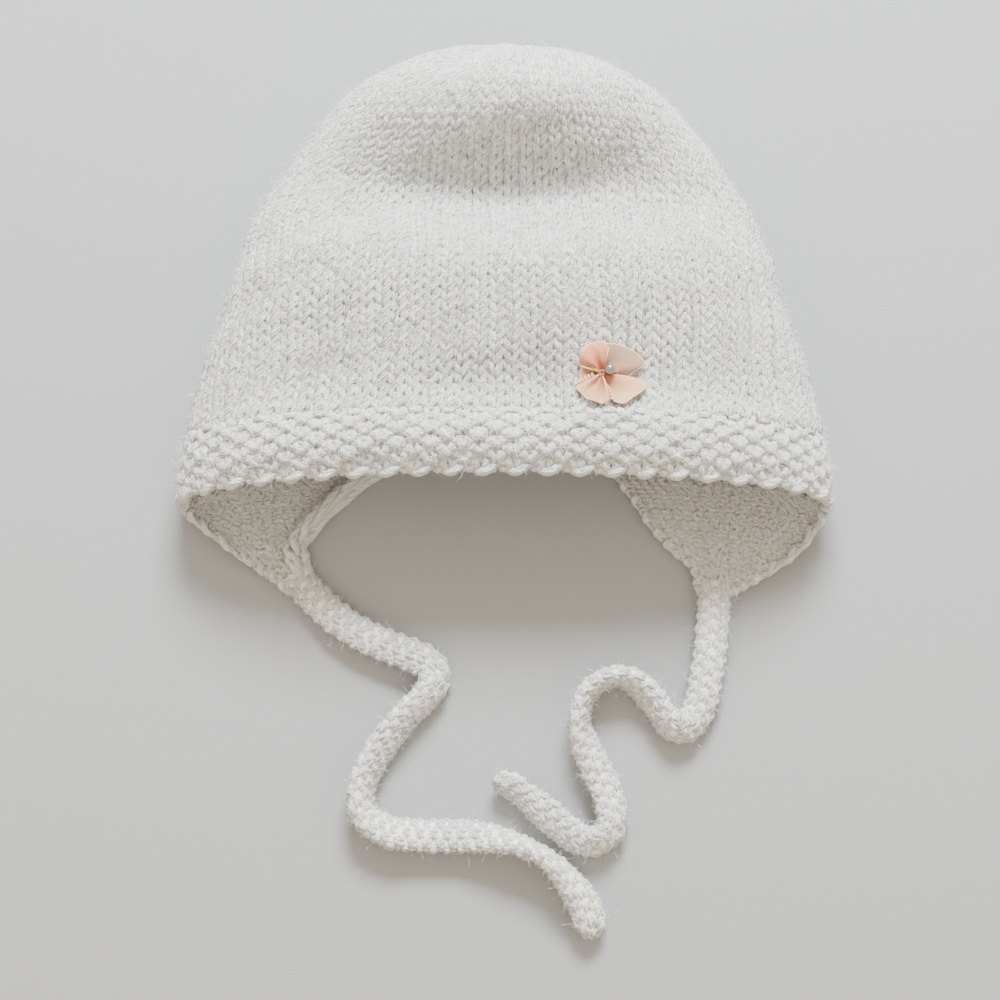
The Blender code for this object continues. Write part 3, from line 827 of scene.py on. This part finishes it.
def knit_crown(yarn_look, gap_shade_look, hair_look):
    sheet = cap_sheet(CROWN_START, CROWN_END, lambda a: 0.0, 150, crowding=1.25)
    reached = path_lengths(sheet.grid[:, sheet.grid.shape[1] // 4])
    count = int(reached[-1] / CROWN_ROW)
    start = cap_ring(CROWN_START, 0.0, RING_COLUMNS)
    steps = np.linalg.norm(np.roll(start, -1, axis=0) - start, axis=1)
    first_lengths = (steps[: RING_COLUMNS // 2].sum(), steps[RING_COLUMNS // 2 :].sum())
    rng = np.random.default_rng(7)
    lumps, drift, lean = soft_noise(rng, 9), soft_noise(rng, 7), soft_noise(rng, 6)
    middle = -CROWN_WALL / 2
    parts = [Yarn(CROWN_YARN) for _ in range(3)]
    for r in range(count):
        centre = (r + 0.6) * CROWN_ROW
        place = float(np.interp(centre, reached, sheet.places))
        edges = column_edges(cap_ring(place, 0.0, RING_COLUMNS), place, first_lengths)
        edges[1:-1] += rng.normal(0, COLUMN_WOBBLE["crown"], len(edges) - 2)
        stitches = len(edges) - 1
        around, high, deep = stitch_path(edges, np.ones(stitches), CROWN_LOOP_WIDTH)
        places = np.full(len(around), place)
        around = around + CROWN_LEAN * lean(around, places)
        wobble = per_stitch(rng, ROW_WOBBLE["crown"], stitches) + CROWN_DRIFT * drift(around, places)
        height = centre + (LOOP_REACH["crown"] * high + wobble) * CROWN_ROW
        along = np.interp(height, reached, sheet.places)
        out = middle + deep * CROWN_RELIEF + per_stitch(rng, DEPTH_WOBBLE["crown"], stitches)
        out = out + CROWN_LUMPS * lumps(around, along) - 0.0001 + pucker(around, along)
        points, normals = sheet.read(along, around, out)
        parts[3 * r // count].add(points, normals, True)
    for part, name in zip(parts, ("crown_knit_lower", "crown_knit_middle", "crown_knit_upper")):
        dress_white("crown", part.build(name, yarn_look))
    dress_white(
        "crown",
        sheet_object("crown_shade_sheet", sheet, middle, gap_shade_look, 70, 120),
        fuzz("crown_fuzz", sheet, HAIRS["crown"], (CROWN_START, 0.99), 0.0, 41, hair_look),
    )


def sheet_object(name, sheet, out, material, rows, columns):
    """A plain sheet in the middle of the knitting, which shows between the stitches; its darker colour is
    painted shade in the gaps.
    """
    along = np.interp(np.linspace(0, 1, rows), np.linspace(0, 1, len(sheet.places)), sheet.places)
    share = np.arange(columns) / (columns if sheet.closed else columns - 1)
    a, b = np.meshgrid(along, share, indexing="ij")
    points, _ = sheet.read(a.ravel(), b.ravel(), np.full(a.size, out))
    faces = grid_faces(grid_corners(rows, columns, sheet.closed), columns)
    return mesh_object(name, points, faces, material)


# Band

def band_swell(along):
    swelling = math.sin(math.pi * min(along / BAND_SHARE, 1.0))
    return BAND_SWELL * (BAND_EDGE_SWELL + (1 - BAND_EDGE_SWELL) * swelling)


def knit_band(yarn_look, gap_shade_look, hair_look):
    sheet = cap_sheet(0.0, BAND_SHARE, band_swell, 24)
    reached = path_lengths(sheet.grid[:, sheet.grid.shape[1] // 4])
    count = int(round(reached[-1] / BAND_ROW))
    step = reached[-1] / count
    rng = np.random.default_rng(11)
    lumps = soft_noise(rng, 16)
    yarn = Yarn(BAND_YARN, ROUND_YARN)
    middle = -BAND_WALL / 2
    edges = np.arange(BAND_STITCHES + 1) / BAND_STITCHES
    for r in range(count):
        shaken = edges.copy()
        shaken[1:-1] += rng.normal(0, COLUMN_WOBBLE["band"], len(edges) - 2)
        around, high, deep = stitch_path(shaken, moss_signs(BAND_STITCHES, r), LOOP_WIDTH)
        wobble = per_stitch(rng, ROW_WOBBLE["band"], BAND_STITCHES)
        centre = (r + 0.5) * step
        along = np.interp(centre + (LOOP_REACH["band"] * high + wobble) * step, reached, sheet.places)
        out = middle + deep * BAND_RELIEF + per_stitch(rng, DEPTH_WOBBLE["band"], BAND_STITCHES)
        out = out + BAND_LUMPS * lumps(around, along)
        points, normals = sheet.read(along, around, out)
        yarn.add(points, normals, True)
    add_edge_rope(yarn, sheet, middle)
    dress_white(
        "band",
        yarn.build("band_knit", yarn_look),
        sheet_object("band_shade_sheet", sheet, middle, gap_shade_look, 12, 180),
        fuzz("band_fuzz", sheet, HAIRS["band"], (0.0, BAND_SHARE), 0.0, 42, hair_look),
    )


def add_edge_rope(yarn, sheet, middle):
    """The cast-on edge: one strand that winds slantwise along the band's lower rim."""
    turns = BAND_STITCHES // 2
    steps = turns * ROPE_POINTS
    t = np.arange(steps) / steps
    wind = 2 * math.pi * turns * t
    base, normals = sheet.read(np.full(steps, 0.004), t, np.full(steps, middle))
    down = np.array([0.0, -1.0, 0.0])
    points = base + normals * (0.0002 + np.cos(wind) * ROPE_RISE)[:, None]
    points = points + down * (0.0004 + np.sin(wind) * ROPE_SWING)[:, None]
    yarn.add(points, normals, True, ROPE_YARN)


# Flaps

def flap_root(inner_x):
    x, z, roundness = half_section(0.0, False, BAND_SWELL * BAND_EDGE_SWELL)
    along_x, along_z = np.gradient(x), np.gradient(z)
    inward = FLAP_WALL / 2 / np.hypot(along_x, along_z)
    y = edge_y(0.0, False, roundness) - FLAP_GAP
    root = np.stack([x + along_z * inward, z - along_x * inward, y], axis=1)
    root[0] = (x[0] - FLAP_WALL / 2, z[0], edge_y(0.0, False, 0.0) - FLAP_GAP)
    return root[root[:, 0] > inner_x][::-1]


def flap_sheet(table, side, rows=60, columns=60):
    """The flap's middle surface: down from the band to the tie, across from inner edge to outer."""
    steps = [dict(row, step=i / (len(table) - 1)) for i, row in enumerate(table)]
    root = flap_root(HALF_WIDTH * table[0]["inner_x"])
    reached = path_lengths(root[:, :2])
    across = np.linspace(0, 1, columns)
    root_x, root_z, root_y = (np.interp(across * reached[-1], reached, root[:, k]) for k in range(3))
    fold_y = END_Y - SIDE_LENGTH
    straight_x = HALF_WIDTH * (steps[0]["inner_x"] + (1 - steps[0]["inner_x"]) * across)
    straight_drop = steps[0]["inner_drop"] + (steps[0]["outer_drop"] - steps[0]["inner_drop"]) * across
    grid = []
    for at in np.linspace(0, 1, rows):
        inner_x, outer_x = (
            HALF_WIDTH * smooth_read(steps, "step", column, at) for column in ("inner_x", "outer_x")
        )
        inner_drop, outer_drop = (smooth_read(steps, "step", c, at) for c in ("inner_drop", "outer_drop"))
        curl = smooth_read(steps, "step", "curl", at)
        x = inner_x + (outer_x - inner_x) * across + (root_x - straight_x) * curl
        y = fold_y - FLAP_LENGTH * (inner_drop + (outer_drop - inner_drop) * across)
        y = y + (root_y - fold_y + FLAP_LENGTH * straight_drop) * (1 - at) ** 2
        z = FLAP_WALL / 2 + (root_z - FLAP_WALL / 2) * curl
        grid.append(np.stack([side * x, y, z], axis=1))
    grid = np.stack(grid)
    if side < 0:
        grid = grid[:, ::-1]
    return Sheet(np.linspace(0, 1, rows), grid[::-1], False)


def knit_flap(name, table, side, yarn_look, gap_shade_look, hair_look):
    sheet = flap_sheet(table, side)
    length = line_length(sheet.grid[:, sheet.grid.shape[1] // 2])
    count = int(round(length / FLAP_ROW))
    rng = np.random.default_rng(21 if side < 0 else 22)
    yarn = Yarn(FLAP_YARN, ROUND_YARN)
    for r in range(count):
        at = (r + 0.5) / count
        mossy = at < 0.5
        width = line_length(sheet.grid[int(at * (len(sheet.grid) - 1))])
        stitches = max(int(round(width / FLAP_STITCH)), 2)
        signs = moss_signs(stitches, r) if mossy else -np.ones(stitches)
        edges = np.arange(stitches + 1) / stitches
        around, high, deep = stitch_path(edges, signs, LOOP_WIDTH)
        wobble = per_stitch(rng, ROW_WOBBLE["flap"], stitches)
        along = np.clip(at + (LOOP_REACH["flap"] * high + wobble) / count, 0.0, 1.0)
        relief = FLAP_MOSS_RELIEF if mossy else FLAP_RELIEF
        out = deep * relief + per_stitch(rng, DEPTH_WOBBLE["flap"], stitches)
        points, normals = sheet.read(along, around, out)
        yarn.add(points, normals, False)
    inner, outer = (1.0, 0.0) if side < 0 else (0.0, 1.0)
    add_flap_edge(yarn, sheet, outer, PLAIN_EDGE)
    if side < 0:
        add_flap_edge(yarn, sheet, inner, CORE_EDGE, radius=CORE_YARN)
        for turn in (0.0, 1 / 3, 2 / 3):
            add_flap_edge(yarn, sheet, inner, BRAID_EDGE, turn, BRAID_LIFT, BRAID_YARN)
    else:
        add_flap_edge(yarn, sheet, inner, PLAIN_EDGE)
    dress_white(
        name,
        fuzz(name + "_fuzz", sheet, HAIRS["flap"], (0.0, 1.0), FLAP_WALL / 2, 43 + side, hair_look),
        yarn.build(name + "_knit", yarn_look),
        sheet_object(name + "_shade_sheet", sheet, 0.0, gap_shade_look, 40, 40),
    )


def add_flap_edge(yarn, sheet, edge, winding, turn=0.0, lift=0.0, radius=BAND_YARN):
    """A strand that winds along one side of a flap, a little way in from its edge."""
    inset, pitch, wide, high = winding
    length = line_length(sheet.grid[:, -1 if edge else 0])
    steps = int(length / EDGE_STEP)
    t = np.linspace(0, 1, steps)
    wind = 2 * math.pi * (length / pitch * t + turn)
    base, normals = sheet.read(t, np.full(steps, edge), np.zeros(steps))
    beside, _ = sheet.read(t, np.full(steps, abs(edge - 0.08)), np.zeros(steps))
    inward = unit(beside - base)
    grown = np.clip(t / 0.3, 0.2, 1) if lift else np.ones(steps)
    raised = (lift + np.cos(wind) * high) * grown
    points = base + normals * raised[:, None] + inward * (inset + np.sin(wind) * wide * grown)[:, None]
    ahead = (base[-1] - base[-4]) / np.linalg.norm(base[-1] - base[-4])
    lead = points[-1] + ahead * np.linspace(EDGE_STEP, FLAP_LEAD, 6)[:, None]
    normals = np.concatenate([normals, np.repeat(normals[-1:], 6, 0)])
    yarn.add(np.concatenate([points, lead]), normals, False, radius)


# Ties

def route_points(route, step):
    """Even steps on one smooth curve through the route, as x, y and twist."""
    fine = []
    for i in range(len(route) - 1):
        p = [Vector(route[min(max(i + k, 0), len(route) - 1)]) for k in (-1, 0, 1, 2)]
        for k in range(12):
            t = k / 12
            fine.append(
                0.5
                * (
                    2 * p[1]
                    + (p[2] - p[0]) * t
                    + (2 * p[0] - 5 * p[1] + 4 * p[2] - p[3]) * t * t
                    + (3 * p[1] - 3 * p[2] + p[3] - p[0]) * t**3
                )
            )
    fine = np.array([tuple(p) for p in fine] + [route[-1]])
    reached = path_lengths(fine[:, :2])
    count = int(round(reached[-1] / step))
    wanted = np.linspace(0, reached[-1], count + 1)
    return np.stack([np.interp(wanted, reached, fine[:, k]) for k in range(3)], axis=1), reached[-1]


def with_lead(route):
    """The route with a little more at its start, which lies inside the flap's tip."""
    (x0, y0, twist), (x1, y1, _) = route[:2]
    share = TIE_LEAD / math.hypot(x1 - x0, y1 - y0)
    return ((x0 - (x1 - x0) * share, y0 - (y1 - y0) * share, twist),) + route


def tie_sheet(route, shrink, knob):
    """The tie's oval skin, with rounded ends, as a closed sheet round its route."""
    line, length = route_points(with_lead(route), ROUTE_STEP)
    turn = np.radians(line[:, 2])
    reached = np.linspace(0, length, len(line))
    start = np.clip(reached / TIE_TAPER, 0, 1)
    thickness = TIE_THICKNESS * (0.66 + 0.34 * start * start * (3 - 2 * start))
    height = np.hypot(TIE_WIDTH / 2 * np.sin(turn), thickness / 2 * np.cos(turn))
    centre = np.stack([line[:, 0], line[:, 1], height], axis=1)
    tangent = unit(np.gradient(centre, axis=0))
    flat = unit(np.cross(tangent, [0.0, 0.0, 1.0]))
    up = np.cross(flat, tangent)
    wide = flat * np.cos(turn)[:, None] + up * np.sin(turn)[:, None]
    thin = -flat * np.sin(turn)[:, None] + up * np.cos(turn)[:, None]
    end = np.clip((length - reached) / (TIE_WIDTH * 0.45), 0, 1)
    close = np.sqrt(np.maximum(1 - (1 - end) ** 2, 0.0004))
    if knob:
        near = np.clip((length - reached) / KNOB_LENGTH, 0, 1)
        close = close * (1 - KNOB_WAIST * np.sin(math.pi * near) ** 2)
    angle = 2 * math.pi * np.arange(48) / 48
    oval = wide[:, None] * (np.cos(angle) * (TIE_WIDTH / 2 - shrink))[None, :, None]
    thin_reach = np.maximum(thickness / 2 - shrink, 0.0002)
    oval = oval + thin[:, None] * (np.sin(angle)[None] * thin_reach[:, None])[:, :, None]
    grid = centre[:, None] + oval * close[:, None, None]
    sheet = Sheet(reached / length, grid, True)
    outward = (sheet.normals * (grid - centre[:, None])).sum(axis=2)
    if (outward < 0).mean() > 0.5:
        sheet.normals = -sheet.normals
    return sheet, centre, length


def knit_tie(name, route, knob, yarn_look, gap_shade_look, hair_look):
    sheet, _, length = tie_sheet(route, TIE_YARN * 1.25, knob)
    rng = np.random.default_rng(31 if knob else 32)
    count = int(length / TIE_ROW)
    yarn = Yarn(TIE_YARN, ROUND_YARN)
    edges = np.arange(TIE_STITCHES + 1) / TIE_STITCHES + 0.5 / TIE_STITCHES
    for r in range(count + 1):
        signs = moss_signs(TIE_STITCHES, r)
        around, high, deep = stitch_path(edges, signs, LOOP_WIDTH, TIE_STITCH_POINTS)
        wobble = per_stitch(rng, ROW_WOBBLE["tie"], TIE_STITCHES, TIE_STITCH_POINTS)
        along = np.clip((r + 0.5 + LOOP_REACH["tie"] * high + wobble) / (count + 0.6), 0.0, 0.999)
        out = deep * TIE_RELIEF + per_stitch(rng, DEPTH_WOBBLE["tie"], TIE_STITCHES, TIE_STITCH_POINTS)
        points, normals = sheet.read(along, around, out)
        yarn.add(points, normals, True)
    knit = dress(yarn.build(name + "_knit", yarn_look), [name])
    # The core sheet shows between the tie's stitches: painted shade in the gaps
    core_sheet, core_centre, _ = tie_sheet(route, TIE_YARN * 0.55, knob)
    core = dress(sheet_object(name + "_core", core_sheet, 0.0, gap_shade_look, 120, 24), [name])
    hairs = fuzz(name + "_fuzz", sheet, HAIRS["tie"], (0.0, 1.0), TIE_YARN, 51 + knob, hair_look)
    dress(hairs, [name])


# Flower and bead

def flower_seat():
    """The crown's surface under the flower as a sheet, with the bead in its middle."""
    offsets = np.linspace(-FLOWER_PATCH / 2, FLOWER_PATCH / 2, 25)
    grid = []
    for back in offsets:
        ring = cap_ring((FLOWER_FROM_FRONT + back) / FRONT_LENGTH, 0.0, 480)[:240][::-1]
        columns = [np.interp(FLOWER_X + offsets, ring[:, 0], ring[:, k]) for k in range(3)]
        grid.append(np.stack(columns, axis=1))
    return Sheet(np.linspace(0, 1, len(offsets)), np.stack(grid), False)


def on_seat(seat, x, y, out):
    """Points over the seat, at distances from the bead across and back."""
    return seat.read(0.5 + y / FLOWER_PATCH, 0.5 + x / FLOWER_PATCH, out)


def petal_lines(petal, rows, columns):
    """A petal's x, y and height: a fan of folds that rises from the gather and comes down at its rim."""
    angles, reaches = zip(*petal["rim"])
    place = np.linspace(0, 1, len(angles))
    across = np.linspace(0, 1, columns)
    angle = np.radians(np.interp(across, place, angles))
    reach = np.interp(across, place, reaches)
    kernel = np.ones(5) / 5
    reach[2:-2] = np.convolve(reach, kernel, "valid")
    out = np.linspace(0.04, 1, rows)[:, None]
    fold = np.cos(2 * math.pi * (petal["folds"] * across + petal["turn"]))[None]
    height = petal["lift"] * np.sin(math.pi * np.minimum(out * 0.92 + 0.05, 1)) ** 0.8
    height = height + FOLD_DEPTH * fold * np.minimum(out * 2.5, 1) * (1.15 - 0.6 * out) + petal["level"]
    x = GATHER_X + out * reach * np.cos(angle)[None]
    y = GATHER_Y + out * reach * np.sin(angle)[None]
    return x, y, height


def build_petal(petal, seat, look, edge_look):
    rows, columns = 26, 64
    x, y, height = petal_lines(petal, rows, columns)
    points, normals = on_seat(seat, x.ravel(), y.ravel(), height.ravel())
    corners = grid_corners(rows, columns)[::-1]
    faces = grid_faces(corners, columns)
    uvs = np.stack([np.stack([a / (rows - 1), b / (columns - 1)], axis=1) for a, b in corners], axis=1)
    name = "petal_" + petal["name"]
    sheet = mesh_object(name, points, faces, look, uvs.reshape(-1, 2))
    wall = sheet.modifiers.new("wall", "SOLIDIFY")
    wall.thickness = RIBBON_WALL
    dress(sheet, ["ribbon_flower"])
    grid = points.reshape(rows, columns, 3)
    up = normals.reshape(rows, columns, 3)
    edge = Yarn(RIBBON_EDGE)
    outline = np.concatenate([grid[:, 0], grid[-1, 1:-1], grid[::-1, -1]])
    edge.add(outline, np.concatenate([up[:, 0], up[-1, 1:-1], up[::-1, -1]]), False)
    dress(edge.build(name + "_edge", edge_look), ["ribbon_flower"])
    return grid, up


def add_picots(name, line, normals, look):
    """The tiny loops along a ribbon's woven edge."""
    yarn = Yarn(PICOT_YARN)
    turn = np.linspace(0, 2 * math.pi, 9)
    reached = path_lengths(line)
    for at in np.arange(PICOT_START, reached[-1], PICOT_STEP):
        point, after = ([np.interp(a, reached, line[:, k]) for k in range(3)] for a in (at, at + 0.0001))
        normal = np.array([np.interp(at, reached, normals[:, k]) for k in range(3)])
        ahead = np.subtract(after, point)
        ahead /= np.linalg.norm(ahead)
        side = np.cross(ahead, normal)
        loop = np.array(point) + normal * PICOT_OUT + side * PICOT_OUT
        loop = loop + ahead * (PICOT_HALF_LENGTH * np.cos(turn))[:, None]
        loop = loop + side * (PICOT_HALF_WIDTH * np.sin(turn))[:, None]
        yarn.add(loop, np.repeat(normal[None], len(turn), 0), False)
    dress(yarn.build(name, look), ["ribbon_flower"])


def build_flower():
    seat = flower_seat()
    looks = {look: ribbon_material(*satin) for look, satin in SATINS.items()}
    golden = plain_material("ribbon_edge", GOLDEN_EDGE, {"Roughness": 0.35})
    pink = plain_material("ribbon_picots", PICOT_PINK, {"Roughness": 0.45})
    for petal in RIBBON_PETALS:
        grid, up = build_petal(petal, seat, looks[petal["look"]], golden)
        if petal["picots"]:
            add_picots("picots_" + petal["name"], grid[:, -1], up[:, -1], pink)
    knot = Yarn(KNOT_YARN)
    turn = np.linspace(0, 2 * math.pi, 24)
    x = GATHER_X + KNOT_RADIUS * np.cos(turn)
    y = GATHER_Y + KNOT_RADIUS * np.sin(turn)
    ring, up = on_seat(seat, x, y, np.full(len(turn), KNOT_HEIGHT))
    knot.add(ring, up, False)
    dress(knot.build("gather_knot", looks["deep"]), ["ribbon_flower"])
    build_bead(seat)


def build_bead(seat):
    """The bead, with the mouths of its thread hole to the left and right."""
    centre, _ = on_seat(seat, np.zeros(1), np.zeros(1), np.full(1, BEAD_HEIGHT))
    rows, columns = 25, 48
    polar = np.linspace(0.10, math.pi - 0.10, rows)[:, None]
    turn = 2 * math.pi * np.arange(columns)[None] / columns
    ball = [np.cos(polar) + 0 * turn, np.sin(polar) * np.cos(turn), np.sin(polar) * np.sin(turn)]
    ball = np.stack(ball, axis=2)
    mouth = ball[[0, -1]] * (0.75, 0.6, 0.6)
    ball = np.concatenate([mouth[:1], ball, mouth[1:]])
    corners = grid_corners(rows + 2, columns, True)
    faces = grid_faces(corners[:1] + corners[:0:-1], columns)
    gloss = {"Roughness": 0.16, "Metallic": 0.80, "Coat Weight": 1.0, "Coat Roughness": 0.08}
    look = plain_material("pearl", PEARL, gloss)
    bead = mesh_object("pearl", centre + ball.reshape(-1, 3) * BEAD_DIAMETER / 2, faces, look)
    dress(bead, ["pearl_bead"])


# Floor, light and camera

def make_stage():
    bpy.ops.mesh.primitive_plane_add(size=FLOOR_SIZE, location=(0, 0, -FLOOR_DROP))
    floor = bpy.context.object
    floor.name = "floor"
    floor.data.materials.append(plain_material("floor_paper", FLOOR_GREY, {"Roughness": 0.8}))


def make_light():
    world = bpy.data.worlds.new("room")
    bpy.context.scene.world = world
    world.use_nodes = True
    background = world.node_tree.nodes["Background"]
    set_values(background, {"Color": (*ROOM_COLOUR, 1), "Strength": ROOM_STRENGTH})
    light = bpy.data.lights.new("window", "AREA")
    light.shape = "RECTANGLE"
    light.size, light.size_y = WINDOW_SIZE
    light.energy = WINDOW_POWER
    light.color = WINDOW_COLOUR
    lamp = bpy.data.objects.new("window", light)
    bpy.context.scene.collection.objects.link(lamp)
    lamp.location = WINDOW_PLACE
    lamp.rotation_euler = (-Vector(WINDOW_PLACE)).to_track_quat("-Z", "Y").to_euler()


def make_camera():
    data = bpy.data.cameras.new("camera")
    data.angle = 2 * math.atan(FIELD / 2 / EYE_DISTANCE)
    data.clip_start = 0.01
    camera = bpy.data.objects.new("camera", data)
    bpy.context.scene.collection.objects.link(camera)
    aim = Vector((AIM[0], AIM[1], 0.0))
    camera.location = aim + Vector((0, -math.sin(EYE_TILT), math.cos(EYE_TILT))) * EYE_DISTANCE
    camera.rotation_euler = (EYE_TILT, 0, 0)
    bpy.context.scene.camera = camera


make_camera()
make_light()
make_stage()
white = yarn_material("white_yarn", *WHITE_YARN)
# Painted shade between the crown's stitches
crown_shade = cloth_material("painted_gap_shade_crown", CROWN_GAP_SHADE)
# A lighter copy of the yarn: painted light on the band, flaps and ties
painted_light = yarn_material("painted_light_yarn", *PAINTED_LIGHT_YARN)
# Painted shade between the stitches of the band and ties, lighter so that their gaps shade less
pale_shade = cloth_material("painted_gap_shade_pale", PALE_GAP_SHADE)
# Painted shade in the holes between the flaps' stitches
shaded = cloth_material("painted_gap_shade_flap", FLAP_GAP_SHADE)
loose = plain_material("loose_fibres", LOOSE_FIBRES, {"Roughness": 0.5, "Sheen Weight": 0.3})
knit_tie("tie_left", LEFT_ROUTE, False, painted_light, pale_shade, loose)
knit_tie("tie_right", RIGHT_ROUTE, True, painted_light, pale_shade, loose)
knit_crown(white, crown_shade, loose)
knit_band(painted_light, pale_shade, loose)
knit_flap("ear_flap_left", LEFT_FLAP, -1, painted_light, shaded, loose)
knit_flap("ear_flap_right", RIGHT_FLAP, 1, painted_light, shaded, loose)
build_flower()

bpy.context.view_layer.update()
